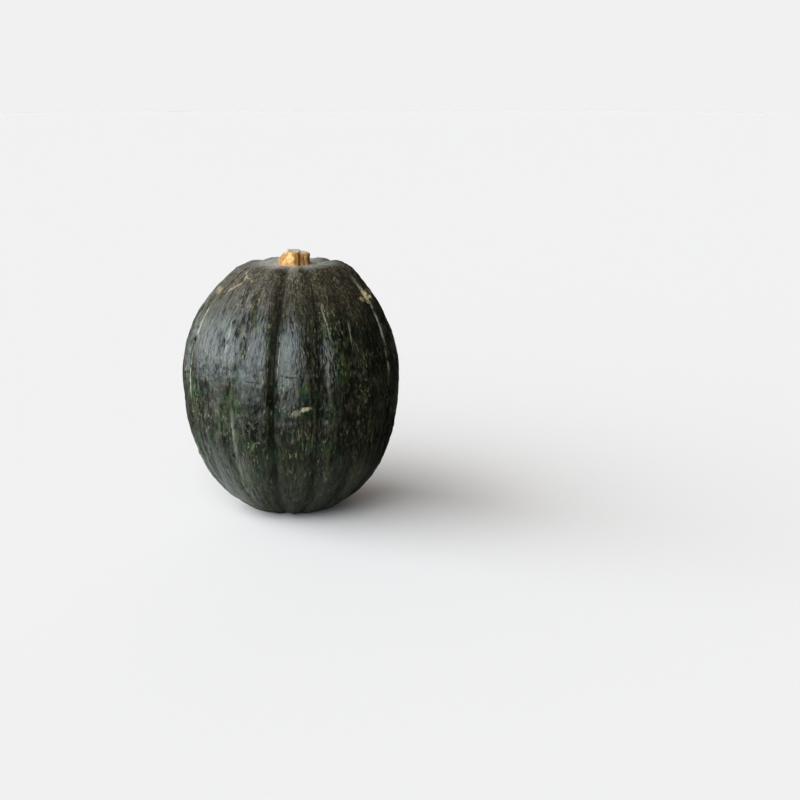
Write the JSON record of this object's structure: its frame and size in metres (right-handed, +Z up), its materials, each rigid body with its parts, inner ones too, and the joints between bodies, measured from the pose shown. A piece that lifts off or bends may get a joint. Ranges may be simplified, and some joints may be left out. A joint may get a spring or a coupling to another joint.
{
  "type": "kabocha squash",
  "caption": "Whole dark green kabocha squash with lobes between furrows from stem to blossom end, topped by a cut corky stem stub.",
  "frame": {"origin": "middle of the squash at ground level, where it stands on its blossom end", "axes": "+Z up towards the stem, -Y towards the viewer of the picture, +X to that viewer's right"},
  "size_m": [0.1692, 0.1679, 0.2047],
  "materials": {
    "rind": "satin",
    "stem_cork": "matte"
  },
  "bodies": {
    "root": {"squash_fruit": "rind", "stem_stub": "stem_cork"}
  },
  "joints": []
}
